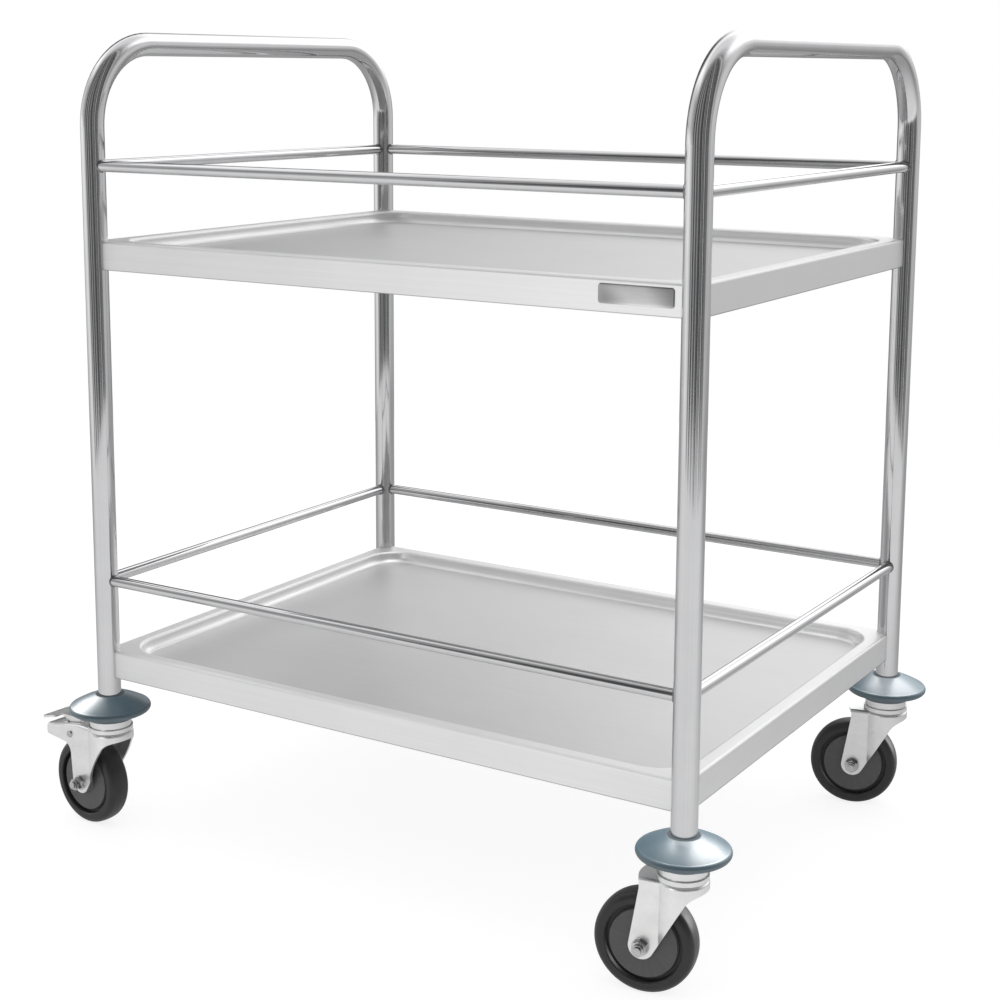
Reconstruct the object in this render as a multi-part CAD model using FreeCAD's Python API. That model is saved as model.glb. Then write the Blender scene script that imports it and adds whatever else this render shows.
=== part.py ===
"""Stainless serving trolley: tube end frames, pressed trays, gallery rails and swivel casters.

Millimetres. +Z is up and Z = 0 is the floor. X runs along the trays' long side, -Y is the front, and the
origin is on the floor midway between the four posts. One STEP file is written for each piece.
"""

import FreeCAD
import Part
import math
import os

Vector = FreeCAD.Vector

# End frames, with heights measured from the tubes' lower ends
POST_SPAN_X = 714.0
POST_SPAN_Y = 534.0
TUBE_D = 25.4
TUBE_WALL = 1.2
HANDLE_ABOVE_END = 717.0
HANDLE_BEND_R = 88.0

# Gallery rails
RAIL_D = 12.0
RAIL_WALL = 1.0
RAIL_ABOVE_RIM = 80.0
WELD_GAP = 0.05

# Trays, with heights measured from the tubes' lower ends
LOWER_RIM_ABOVE_END = 51.0
UPPER_RIM_ABOVE_END = 508.0
SHEET = 1.0
SKIRT_H = 31.0
SKIRT_PROUD = 3.0
SKIRT_BEND_R = 3.0
RIM_W = 17.0
RIM_BEND_R = 4.0
DISH_DEPTH = 14.0
DISH_CORNER_R = 42.0
DISH_FLOOR_R = 9.0
SADDLE_GAP = 0.1

# Tray fixings, one at each corner of each tray
SCREW_D = 6.0
SCREW_L = 12.0
SCREW_HEAD_D = 10.5
SCREW_HEAD_H = 3.3
SCREW_BELOW_RIM = 19.0
SCREW_HOLE_GAP = 0.3
NUT_BODY_D = 9.0
NUT_BODY_L = 10.0
NUT_BULGE_D = 11.4
NUT_BULGE_L = 3.2
NUT_GAP = 0.03

# Wheels
WHEEL_D = 100.0
TYRE_W = 26.0
TYRE_DEPTH = 12.0
BEAD_BEVEL = 1.0
SHOULDER_R = 7.0
TREAD_CROWN = 0.5
DISC_INSET = 2.0
GROOVE_W = 3.0
GROOVE_DEPTH = 3.5
HUB_D = 24.0
HUB_END_GAP = 0.4
BOND_GAP = 0.05

# Forks and swivel heads
TRAIL = 34.0
FORK_SHEET = 2.5
FORK_ABOVE_WHEEL = 17.0
FORK_TYRE_GAP = 2.5
FORK_CROWN_R = 25.0
FORK_TAIL_X = 37.0
FORK_BEND_R = 3.5
FORK_TIP_R = 12.5
FORK_TAIL_DROP = 10.0
FORK_NOSE_DROP = 8.0
FORK_WAIST_DROP = 12.0
FORK_WAIST_X = -12.0
FORK_WAIST_R = 20.0
CUT_PAST = 1.0
KING_PIN_D = 10.0
KING_HEAD_D = 16.0
KING_HEAD_H = 3.6
RUNNING_GAP = 0.05
RING_INSIDE_D = 24.0
RING_OUTSIDE_D = 36.0
RING_H = 3.0
CAP_D = 49.0
CAP_LIP_H = 4.4
CAP_WALL = 3.0
CAP_GAP = 0.6
NECK_D = 43.0
NECK_H = 1.2
COLLAR_D = 46.0
COLLAR_H = 7.8
STEM_D = 12.0
STEM_L = 52.0
STEM_CHAMFER = 1.0

# Axles
AXLE_D = 8.0
AXLE_GAP = 0.05
BUSH_D = 12.0
HEX_FLATS = 13.0
HEX_HEAD_H = 5.3
HEX_NUT_H = 6.5
NUT_COLLAR_D = 11.0
NUT_COLLAR_H = 2.5
WASHER_D = 17.0
WASHER_H = 1.6
BOLT_END = 2.0

# Wall bumpers
BUMPER_D = 90.0
BUMPER_EDGE_H = 8.0
BUMPER_H = 28.0
BUMPER_TOP_LIP = 1.8
BUMPER_CORE_D = 52.0
BUMPER_WALL = 3.5
BUMPER_EDGE_BULGE = 3.0
BUMPER_CROWN = 1.0
BUMPER_UNDER_RISE = 8.0

# Stem sleeves in the tube ends
SLEEVE_L = 24.0
SLEEVE_GAP = 0.05
SLEEVE_CHAMFER = 2.0

# Brake arms, which carry the crown's sheet on past the wheel; X is measured from the axle
ARM_TIP_X = 56.0
ARM_TIP_DROP = 9.0
ARM_TIP_H = 12.0
ARM_BEND_R = 40.0
ARM_FOOT_X = 16.0
ARM_FOOT_DROP = 25.0
ARM_FOOT_R = 12.0
ARM_CORNER_R = 3.0
WINDOW_START_X = 8.0
WINDOW_L = 35.0
WINDOW_W = 20.0
WINDOW_CORNER_R = 2.0

# Brake pedals, which pass through the arms' windows; X is measured from the axle
PEDAL_SHEET = 2.5
PEDAL_SIDE_GAP = 2.0
PEDAL_W = 42.0
PEDAL_CORNER_R = 6.0
PEDAL_PIVOT_ANGLE = 73.5
PEDAL_PIN_D = 5.0
PEDAL_PIN_HEAD_D = 9.0
PEDAL_PIN_HEAD_H = 1.5
PEDAL_EYE_R = 5.5
PEDAL_EYE_GAP = 0.8
PEDAL_RISE = 3.0
PEDAL_HEEL_X = 8.0
PEDAL_CHEEK_X = 38.0
PEDAL_WIDE_X = 42.0
PEDAL_KNEE_X = 46.0
PEDAL_TOE_X = 62.0
PEDAL_TOE_DROP = 4.0
SHOE_TYRE_GAP = 3.6
SHOE_ANGLE = 50.0

# Where each caster points at rest: the turn from +X to its wheel, and whether it has a brake
CASTERS = {
    "front_left": (-1, -1, 174.0, True),
    "front_right": (1, -1, 189.0, False),
    "back_left": (-1, 1, 174.0, True),
    "back_right": (1, 1, 194.0, False),
}

TUBE_R = TUBE_D / 2
TUBE_BORE_R = TUBE_R - TUBE_WALL
POST_X = POST_SPAN_X / 2
POST_Y = POST_SPAN_Y / 2
AXLE_Z = WHEEL_D / 2
TYRE_BEAD_R = AXLE_Z - TYRE_DEPTH
DISC_W = TYRE_W - 2 * DISC_INSET
LEG_IN = TYRE_W / 2 + FORK_TYRE_GAP
LEG_OUT = LEG_IN + FORK_SHEET
FORK_TOP_Z = WHEEL_D + FORK_ABOVE_WHEEL
FORK_TAIL_R = math.hypot(FORK_TAIL_X, LEG_OUT)
BEND_LOW_Z = FORK_TOP_Z - FORK_BEND_R
CAP_ROOF_Z = FORK_TOP_Z + RING_H + 2 * RUNNING_GAP
HEAD_TOP_Z = FORK_TOP_Z + CAP_GAP + CAP_LIP_H + NECK_H + COLLAR_H
TUBE_END_Z = HEAD_TOP_Z + BUMPER_H
HANDLE_AXIS_Z = TUBE_END_Z + HANDLE_ABOVE_END
RIM_LEVELS = {"lower": TUBE_END_Z + LOWER_RIM_ABOVE_END, "upper": TUBE_END_Z + UPPER_RIM_ABOVE_END}
PIVOT_REACH = AXLE_Z + PEDAL_EYE_GAP + PEDAL_EYE_R
PIVOT_X = TRAIL + PIVOT_REACH * math.cos(math.radians(PEDAL_PIVOT_ANGLE))
PIVOT_Z = AXLE_Z + PIVOT_REACH * math.sin(math.radians(PEDAL_PIVOT_ANGLE))
CORNERS = [(-1, -1), (1, -1), (1, 1), (-1, 1)]
UP = Vector(0, 0, 1)


def rod(radius, start, end):
    """A round bar between two points."""
    run = end - start
    return Part.makeCylinder(radius, run.Length, start, run)


def ring(outer_r, inner_r, start, end):
    """A round tube between two points."""
    return rod(outer_r, start, end).cut(rod(inner_r, start, end))


def face_in(runs, place):
    """The face in a closed outline. A run is its end point, or an arc's middle and end points as a pair."""
    arcs = [isinstance(run[0], tuple) for run in runs]
    ends = [run[1] if arc else run for run, arc in zip(runs, arcs)]
    edges = []
    for index, run in enumerate(runs):
        start = place(*ends[index - 1])
        end = place(*ends[index])
        if arcs[index]:
            edges.append(Part.Arc(start, place(*run[0]), end).toShape())
        else:
            edges.append(Part.LineSegment(start, end).toShape())
    return Part.Face(Part.Wire(edges))


def turned(runs, centre, axis, across):
    """A solid of revolution: each point is (distance from the axis, place along it)."""
    face = face_in(runs, lambda r, h: centre + across * r + axis * h)
    return face.revolve(centre, axis, 360)


def prism(runs, half_width):
    """A plate with a side outline of (x, z) points, standing on both sides of Y = 0."""
    face = face_in(runs, lambda x, z: Vector(x, -half_width, z))
    return face.extrude(Vector(0, 2 * half_width, 0))


def round_corner(plate, corner, radius):
    """A plate from prism() with one corner of its side outline rounded."""
    found = []
    for edge in plate.Edges:
        box = edge.BoundBox
        across = box.YLength > 1e-4 and max(box.XLength, box.ZLength) < 1e-4
        if across and math.hypot(box.Center.x - corner[0], box.Center.z - corner[1]) < 1e-4:
            found.append(edge)
    return plate.makeFillet(radius, found)


def hexagon(flats, start, axis, height):
    """A hexagonal prism."""
    across = Vector(1, 0, 0)
    side = axis.cross(across)
    corners = []
    for step in range(7):
        turn = math.radians(60 * step + 30)
        reach = flats / math.sqrt(3)
        corners.append(start + across * (reach * math.cos(turn)) + side * (reach * math.sin(turn)))
    return Part.Face(Part.makePolygon(corners)).extrude(axis * height)


def level_edges(shape, z, inside=None):
    """The edges that lie level at a height, or those of them within a half size in X and Y."""
    found = []
    for edge in shape.Edges:
        box = edge.BoundBox
        level = abs(box.ZMin - z) < 1e-4 and abs(box.ZMax - z) < 1e-4
        reach = inside is None or (
            max(-box.XMin, box.XMax) < inside[0] + 1e-4 and max(-box.YMin, box.YMax) < inside[1] + 1e-4
        )
        if level and reach:
            found.append(edge)
    return found


def post_at(corner):
    """The point on the floor under a post."""
    return Vector(corner[0] * POST_X, corner[1] * POST_Y, 0)


def inward(corner):
    """The level direction from a post to the middle of the trolley's corner, at 45 degrees."""
    return Vector(-corner[0], -corner[1], 0).normalize()


def post_cutters(radius, low, high):
    """Four upright bars on the posts' axes."""
    return [rod(radius, post_at(c) + UP * low, post_at(c) + UP * high) for c in CORNERS]


def end_frame(side):
    """One bent tube: two posts and the handle bar, with holes for the tray nuts."""
    x = side * POST_X
    bend_z = HANDLE_AXIS_Z - HANDLE_BEND_R
    bend_y = POST_Y - HANDLE_BEND_R
    half = HANDLE_BEND_R * math.sqrt(0.5)
    feet = [Vector(x, -POST_Y, TUBE_END_Z), Vector(x, POST_Y, TUBE_END_Z)]
    bends = [Vector(x, -POST_Y, bend_z), Vector(x, POST_Y, bend_z)]
    middles = [Vector(x, -bend_y - half, bend_z + half), Vector(x, bend_y + half, bend_z + half)]
    bars = [Vector(x, -bend_y, HANDLE_AXIS_Z), Vector(x, bend_y, HANDLE_AXIS_Z)]
    path = Part.Wire(
        [
            Part.LineSegment(feet[0], bends[0]).toShape(),
            Part.Arc(bends[0], middles[0], bars[0]).toShape(),
            Part.LineSegment(bars[0], bars[1]).toShape(),
            Part.Arc(bars[1], middles[1], bends[1]).toShape(),
            Part.LineSegment(bends[1], feet[1]).toShape(),
        ]
    )
    skins = []
    for radius in (TUBE_R, TUBE_BORE_R):
        section = Part.Wire(Part.makeCircle(radius, feet[0], UP))
        skins.append(path.makePipeShell([section], True, False))
    tube = skins[0].cut(skins[1])
    for corner in CORNERS:
        if corner[0] == side:
            for rim_z in RIM_LEVELS.values():
                axis = post_at(corner) + UP * (rim_z - SCREW_BELOW_RIM)
                tube = tube.cut(rod(NUT_BODY_D / 2, axis, axis + inward(corner) * TUBE_D))
    return tube


def gallery_rail(start, end):
    """One thin tube, coped to the two posts that it is welded to."""
    rail = ring(RAIL_D / 2, RAIL_D / 2 - RAIL_WALL, start, end)
    low = start.z - RAIL_D
    high = start.z + RAIL_D
    for cutter in post_cutters(TUBE_R + WELD_GAP, low, high):
        rail = rail.cut(cutter)
    return rail


def rounded_prism(half_x, half_y, corner_r, low, high):
    """An upright block with rounded corners in plan."""
    block = Part.makeBox(2 * half_x, 2 * half_y, high - low, Vector(-half_x, -half_y, low))
    uprights = [e for e in block.Edges if e.BoundBox.ZLength > high - low - 1e-4]
    return block.makeFillet(corner_r, uprights)


def tray_side(rim_z, inset, post_r):
    """What lies under one face of a tray's sheet: the skirt box less the dish and the post saddles."""
    half_x = POST_X + SKIRT_PROUD - inset
    half_y = POST_Y + SKIRT_PROUD - inset
    dish_x = POST_X + SKIRT_PROUD - RIM_W + inset
    dish_y = POST_Y + SKIRT_PROUD - RIM_W + inset
    top = rim_z - inset
    low = rim_z - SKIRT_H - 2 * inset
    floor = rim_z - DISH_DEPTH - inset
    box = Part.makeBox(2 * half_x, 2 * half_y, top - low, Vector(-half_x, -half_y, low))
    box = box.makeFillet(SKIRT_BEND_R - inset, level_edges(box, top))
    dish = rounded_prism(dish_x, dish_y, DISH_CORNER_R + inset, floor, top + SHEET)
    dish = dish.makeFillet(DISH_FLOOR_R + inset, level_edges(dish, floor))
    body = box.cut(dish)
    body = body.makeFillet(RIM_BEND_R - inset, level_edges(body, top, (dish_x, dish_y)))
    for cutter in post_cutters(post_r, low, top + SHEET):
        body = body.cut(cutter)
    return body


def tray(rim_z):
    """A pressed tray: rim, dish and skirt in one thickness, with a saddle against each post."""
    saddle_r = TUBE_R + SADDLE_GAP
    sheet = tray_side(rim_z, 0.0, saddle_r).cut(tray_side(rim_z, SHEET, saddle_r + SHEET))
    for corner in CORNERS:
        axis = post_at(corner) + UP * (rim_z - SCREW_BELOW_RIM)
        way = inward(corner)
        sheet = sheet.cut(rod(SCREW_D / 2 + SCREW_HOLE_GAP, axis + way * TUBE_R / 2, axis + way * TUBE_D))
    return sheet


def tray_screw(corner, rim_z):
    """A button-head screw from inside a tray's corner into its post."""
    seat = TUBE_R + SADDLE_GAP + SHEET
    axis = post_at(corner) + UP * (rim_z - SCREW_BELOW_RIM)
    profile = [
        (0, seat - SCREW_L),
        (SCREW_D / 2, seat - SCREW_L),
        (SCREW_D / 2, seat),
        (SCREW_HEAD_D / 2, seat),
        (SCREW_HEAD_D / 2, seat + SCREW_HEAD_H / 3),
        (SCREW_HEAD_D / 3, seat + SCREW_HEAD_H),
        (0, seat + SCREW_HEAD_H),
    ]
    return turned(profile, axis, inward(corner), UP)


def tray_nut(corner, rim_z):
    """A blind nut set in a post's wall, flush outside and swollen behind the wall."""
    axis = post_at(corner) + UP * (rim_z - SCREW_BELOW_RIM)
    swell_end = math.sqrt(TUBE_BORE_R**2 - (NUT_BULGE_D / 2) ** 2) - NUT_GAP
    body_r = NUT_BODY_D / 2 - NUT_GAP
    bore_r = SCREW_D / 2 + NUT_GAP
    profile = [
        (bore_r, TUBE_R - NUT_BODY_L),
        (body_r, TUBE_R - NUT_BODY_L),
        (body_r, swell_end - NUT_BULGE_L),
        (NUT_BULGE_D / 2, swell_end - NUT_BULGE_L),
        (NUT_BULGE_D / 2, swell_end),
        (body_r, swell_end),
        (body_r, TUBE_R),
        (bore_r, TUBE_R),
    ]
    nut = turned(profile, axis, inward(corner), UP)
    reach = UP * NUT_BULGE_D
    return nut.common(rod(TUBE_R, axis - reach, axis + reach))


def stem():
    """The fixed half of a swivel head: king pin, cap over the ball race, collar and stem."""
    lip_z = FORK_TOP_Z + CAP_GAP
    neck_z = lip_z + CAP_LIP_H
    collar_z = neck_z + NECK_H
    under_z = FORK_TOP_Z - FORK_SHEET - RUNNING_GAP
    profile = [
        (0, under_z - KING_HEAD_H),
        (KING_HEAD_D / 2, under_z - KING_HEAD_H),
        (KING_HEAD_D / 2, under_z),
        (KING_PIN_D / 2, under_z),
        (KING_PIN_D / 2, CAP_ROOF_Z),
        (CAP_D / 2 - CAP_WALL, CAP_ROOF_Z),
        (CAP_D / 2 - CAP_WALL, lip_z),
        (CAP_D / 2, lip_z),
        (CAP_D / 2, neck_z),
        (NECK_D / 2, neck_z),
        (NECK_D / 2, collar_z),
        (COLLAR_D / 2, collar_z),
        (COLLAR_D / 2, HEAD_TOP_Z),
        (STEM_D / 2, HEAD_TOP_Z),
        (STEM_D / 2, HEAD_TOP_Z + STEM_L - STEM_CHAMFER),
        (STEM_D / 2 - STEM_CHAMFER, HEAD_TOP_Z + STEM_L),
        (0, HEAD_TOP_Z + STEM_L),
    ]
    return turned(profile, Vector(0, 0, 0), UP, Vector(1, 0, 0))


def swivel_ring():
    """The ball race between the fork's crown and the cap, as one ring."""
    low = FORK_TOP_Z + RUNNING_GAP
    return ring(RING_OUTSIDE_D / 2, RING_INSIDE_D / 2, UP * low, UP * (low + RING_H))


def stem_sleeve():
    """The sleeve that grips a stem in its tube's end."""
    outer = TUBE_BORE_R - SLEEVE_GAP
    inner = STEM_D / 2 + SLEEVE_GAP
    top = TUBE_END_Z + SLEEVE_L
    profile = [
        (inner, TUBE_END_Z),
        (outer, TUBE_END_Z),
        (outer, top - SLEEVE_CHAMFER),
        (outer - SLEEVE_CHAMFER, top),
        (inner, top),
    ]
    return turned(profile, Vector(0, 0, 0), UP, Vector(1, 0, 0))


def bumper():
    """A double-coned round bumper, cored out underneath, between the swivel head and the tube's end."""
    edge_r = BUMPER_D / 2
    lip_r = edge_r - BUMPER_EDGE_BULGE
    hollow_r = lip_r - BUMPER_WALL
    core_r = BUMPER_CORE_D / 2
    top_r = TUBE_R + BUMPER_TOP_LIP
    bore_r = STEM_D / 2 + SLEEVE_GAP
    under_z = HEAD_TOP_Z + BUMPER_UNDER_RISE
    edge_z = under_z + BUMPER_EDGE_H
    slope = (TUBE_END_Z - edge_z) / (lip_r - top_r)
    middle = ((lip_r + top_r) / 2, (edge_z + TUBE_END_Z) / 2 + BUMPER_CROWN)
    profile = [
        (bore_r, HEAD_TOP_Z),
        (core_r, HEAD_TOP_Z),
        (core_r, edge_z + slope * (lip_r - core_r) - BUMPER_WALL),
        (hollow_r, edge_z + slope * (lip_r - hollow_r) - BUMPER_WALL),
        (hollow_r, under_z),
        (lip_r, under_z),
        ((edge_r, (under_z + edge_z) / 2), (lip_r, edge_z)),
        (middle, (top_r, TUBE_END_Z)),
        (bore_r, TUBE_END_Z),
    ]
    return turned(profile, Vector(0, 0, 0), UP, Vector(1, 0, 0))


def tangent_point(point, centre, radius, side):
    """Where a line from a point touches a circle, on the left (1) or right (-1) as seen from the point."""
    dx = centre[0] - point[0]
    dz = centre[1] - point[1]
    reach = math.hypot(dx, dz)
    heading = math.atan2(dz, dx)
    swing = math.asin(radius / reach) * side
    run = math.sqrt(reach**2 - radius**2)
    return (point[0] + run * math.cos(heading + swing), point[1] + run * math.sin(heading + swing))


def fork_plan(inset):
    """The fork's outline in plan, a given distance inside the outer one, as a face at Z = 0."""
    half = LEG_OUT - inset
    crown = FORK_CROWN_R - inset
    crease_x = math.sqrt(crown**2 - half**2)
    tail = TRAIL + ARM_TIP_X + CUT_PAST
    right = [Vector(tail, half), Vector(crease_x, half)]
    left = [Vector(crease_x, -half), Vector(tail, -half)]
    runs = [
        Part.LineSegment(*right).toShape(),
        Part.Arc(right[1], Vector(-crown, 0), left[0]).toShape(),
        Part.LineSegment(*left).toShape(),
        Part.LineSegment(left[1], right[0]).toShape(),
    ]
    return Part.Face(Part.Wire(runs))


def above_arm(inset):
    """The space over the brake arm, whose face bends down from the crown's level."""
    fall = math.atan2(ARM_TIP_DROP, TRAIL + ARM_TIP_X - FORK_TAIL_X)
    start_x = FORK_TAIL_X - ARM_BEND_R * math.tan(fall / 2)
    reach = ARM_BEND_R - inset
    low = FORK_TOP_Z - ARM_BEND_R
    middle = (start_x + reach * math.sin(fall / 2), low + reach * math.cos(fall / 2))
    end = (start_x + reach * math.sin(fall), low + reach * math.cos(fall))
    far = (end[0] + 2 * ARM_TIP_X * math.cos(fall), end[1] - 2 * ARM_TIP_X * math.sin(fall))
    over = FORK_TOP_Z + CUT_PAST
    outline = [(start_x, over), (start_x, low + reach), (middle, end), far, (far[0], over)]
    return prism(outline, LEG_OUT + CUT_PAST)


def fork_shell(inset, braked):
    """The space under one face of the fork's sheet."""
    block = fork_plan(inset).extrude(UP * (FORK_TOP_Z - inset))
    if braked:
        block = block.cut(above_arm(inset))
    bent = []
    for edge in block.Edges:
        box = edge.BoundBox
        across = abs(box.Center.y) < 1e-4 and box.XMin > 0
        if box.ZMin > 0 and not across:
            bent.append(edge)
    return block.makeFillet(FORK_BEND_R - inset, bent)


def fork_side(braked):
    """The fork's outline from the side, as a block that trims the pressed sheet."""
    centre = (TRAIL, AXLE_Z)
    nose = (-FORK_CROWN_R - CUT_PAST, FORK_TOP_Z - FORK_NOSE_DROP)
    waist = (FORK_WAIST_X, FORK_TOP_Z - FORK_WAIST_DROP)
    over = FORK_TOP_Z + CUT_PAST
    half = FORK_CROWN_R + CUT_PAST
    if braked:
        tip = (TRAIL + ARM_TIP_X, FORK_TOP_Z - ARM_TIP_DROP - ARM_TIP_H)
        foot = (TRAIL + ARM_FOOT_X, FORK_TOP_Z - ARM_FOOT_DROP)
        behind = [(tip[0], over), tip, foot]
        rounds = [(waist, FORK_WAIST_R), (tip, ARM_CORNER_R), (foot, ARM_FOOT_R)]
    else:
        tail = (FORK_TAIL_X, FORK_TOP_Z - FORK_TAIL_DROP)
        behind = [(FORK_TAIL_R, over), (FORK_TAIL_R, BEND_LOW_Z), (FORK_TAIL_X, BEND_LOW_Z), tail]
        rounds = [(waist, FORK_WAIST_R)]
    back = tangent_point(behind[-1], centre, FORK_TIP_R, 1)
    front = tangent_point(waist, centre, FORK_TIP_R, -1)
    plate = prism(behind + [back, centre, front, waist, nose, (nose[0], over)], half)
    for corner, radius in rounds:
        plate = round_corner(plate, corner, radius)
    reach = Vector(0, half, 0)
    axle = Vector(TRAIL, 0, AXLE_Z)
    return plate.fuse(rod(FORK_TIP_R, axle - reach, axle + reach)).removeSplitter()


def fork(braked):
    """A pressed fork: a round crown bent down into two flat legs, with a crease where they meet."""
    sheet = fork_shell(0.0, braked).cut(fork_shell(FORK_SHEET, braked))
    body = sheet.common(fork_side(braked))
    body = body.cut(rod(KING_PIN_D / 2 + RUNNING_GAP, UP * AXLE_Z, UP * (FORK_TOP_Z + CUT_PAST)))
    reach = Vector(0, LEG_OUT + CUT_PAST, 0)
    axle = Vector(TRAIL, 0, AXLE_Z)
    body = body.cut(rod(AXLE_D / 2 + AXLE_GAP, axle - reach, axle + reach))
    if braked:
        pivot = Vector(PIVOT_X, 0, PIVOT_Z)
        body = body.cut(rod(PEDAL_PIN_D / 2 + AXLE_GAP, pivot - reach, pivot + reach))
        window = rounded_prism(WINDOW_L / 2, WINDOW_W / 2, WINDOW_CORNER_R, AXLE_Z, FORK_TOP_Z)
        window.translate(Vector(TRAIL + WINDOW_START_X + WINDOW_L / 2, 0, 0))
        body = body.cut(window)
    else:
        body = body.cut(ring(2 * FORK_TAIL_R, FORK_TAIL_R, UP * BEND_LOW_Z, UP * FORK_TOP_Z))
    return body


def axle_bolt():
    """A hexagon-head bolt through the fork's legs, its head on the back face."""
    axle = Vector(TRAIL, 0, AXLE_Z)
    out = Vector(0, 1, 0)
    seat = LEG_OUT + WASHER_H
    shank = rod(AXLE_D / 2, axle - out * seat, axle + out * (seat + HEX_NUT_H + NUT_COLLAR_H + BOLT_END))
    return shank.fuse(hexagon(HEX_FLATS, axle - out * seat, -out, HEX_HEAD_H)).removeSplitter()


def axle_nut():
    """The collared lock nut and the two washers on an axle bolt."""
    axle = Vector(TRAIL, 0, AXLE_Z)
    out = Vector(0, 1, 0)
    bore_r = AXLE_D / 2 + AXLE_GAP
    seat = axle + out * (LEG_OUT + WASHER_H)
    end = seat + out * (HEX_NUT_H + NUT_COLLAR_H)
    nut = hexagon(HEX_FLATS, seat, out, HEX_NUT_H).fuse(rod(NUT_COLLAR_D / 2, seat, end)).removeSplitter()
    nut = nut.cut(rod(bore_r, axle, end))
    washers = []
    for side in (out, -out):
        face = axle + side * LEG_OUT
        washers.append(ring(WASHER_D / 2, bore_r, face, face + side * WASHER_H))
    return Part.makeCompound([nut] + washers)


def axle_bush():
    """The bush that the wheel turns on, clamped between the fork's legs."""
    axle = Vector(TRAIL, 0, AXLE_Z)
    half = Vector(0, LEG_IN, 0)
    return ring(BUSH_D / 2, AXLE_D / 2 + AXLE_GAP, axle - half, axle + half)


def wheel_turned(profile):
    """A piece of a wheel, from its section: (radius, place across the wheel) points and arcs."""
    return turned(profile, Vector(TRAIL, 0, AXLE_Z), Vector(0, 1, 0), UP)


def tyre():
    """A rubber tyre with flat sidewalls, round shoulders and a crowned tread."""
    half = TYRE_W / 2
    tread = WHEEL_D / 2 - TREAD_CROWN
    tread_w = half - SHOULDER_R
    corner = SHOULDER_R * (1 - math.sqrt(0.5))
    return wheel_turned(
        [
            (TYRE_BEAD_R, BEAD_BEVEL - half),
            (TYRE_BEAD_R, half - BEAD_BEVEL),
            (TYRE_BEAD_R + BEAD_BEVEL, half),
            (tread - SHOULDER_R, half),
            ((tread - corner, half - corner), (tread, tread_w)),
            ((WHEEL_D / 2, 0), (tread, -tread_w)),
            ((tread - corner, corner - half), (tread - SHOULDER_R, -half)),
            (TYRE_BEAD_R + BEAD_BEVEL, -half),
        ]
    )


def core():
    """A plastic wheel centre: hub, flat disc, and a groove between the disc and the tyre."""
    rim = TYRE_BEAD_R - BOND_GAP
    disc = TYRE_BEAD_R - GROOVE_W
    groove_w = DISC_W / 2 - GROOVE_DEPTH
    chamfer = GROOVE_DEPTH / 2
    side = [
        (BUSH_D / 2 + RUNNING_GAP, LEG_IN - HUB_END_GAP),
        (HUB_D / 2 - chamfer, LEG_IN - HUB_END_GAP),
        (HUB_D / 2 + chamfer, DISC_W / 2),
        (disc - chamfer, DISC_W / 2),
        (disc, groove_w),
        (rim, groove_w),
    ]
    return wheel_turned(side + [(r, -w) for r, w in reversed(side)])


def pedal():
    """A brake pedal: a stalk with a wide toe, and cheeks and a shoe that pass through the arm's window."""
    half = WINDOW_W / 2 - PEDAL_SIDE_GAP
    top = FORK_TOP_Z + PEDAL_RISE
    under = top - PEDAL_SHEET
    heel_x = TRAIL + PEDAL_HEEL_X
    knee_x = TRAIL + PEDAL_KNEE_X
    toe_x = TRAIL + PEDAL_TOE_X
    toe_z = top - PEDAL_TOE_DROP
    toe = [(knee_x, top), (toe_x, toe_z), (toe_x, toe_z - PEDAL_SHEET), (knee_x, under)]
    tread = [(heel_x, under), (heel_x, top)] + toe
    wide_l = PEDAL_TOE_X - PEDAL_WIDE_X
    plan = rounded_prism(wide_l / 2, PEDAL_W / 2, PEDAL_CORNER_R, PIVOT_Z, top)
    plan.translate(Vector(toe_x - wide_l / 2, 0, 0))
    toe_plate = prism(tread, PEDAL_W / 2).common(plan)
    behind_toe = Part.makeBox(toe_x - wide_l / 2, 2 * half, top, Vector(0, -half, 0))
    stalk = prism(tread, half).common(behind_toe)
    eye_x = PIVOT_X - PEDAL_EYE_R
    cheek = [(eye_x, PIVOT_Z), (eye_x, under), (TRAIL + PEDAL_CHEEK_X, under)]
    cheek.append(tangent_point(cheek[2], (PIVOT_X, PIVOT_Z), PEDAL_EYE_R, -1))
    cheek.append((PIVOT_X, PIVOT_Z))
    wide = Vector(0, half, 0)
    pivot = Vector(PIVOT_X, 0, PIVOT_Z)
    cheeks = prism(cheek, half).fuse(rod(PEDAL_EYE_R, pivot - wide, pivot + wide)).removeSplitter()
    between = half - PEDAL_SHEET
    cheeks = cheeks.cut(Part.makeBox(toe_x, 2 * between, top, Vector(0, -between, 0)))
    cheeks = cheeks.cut(rod(PEDAL_PIN_D / 2 + AXLE_GAP, pivot - wide, pivot + wide))
    turn = math.radians(SHOE_ANGLE)
    reach = AXLE_Z + SHOE_TYRE_GAP
    tip = (TRAIL + reach * math.cos(turn), AXLE_Z + reach * math.sin(turn))
    shoe = [(tip[0], under), tip, (tip[0] + PEDAL_SHEET, tip[1]), (tip[0] + PEDAL_SHEET, under)]
    return stalk.fuse(toe_plate).fuse(cheeks).fuse(prism(shoe, between)).removeSplitter()


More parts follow.
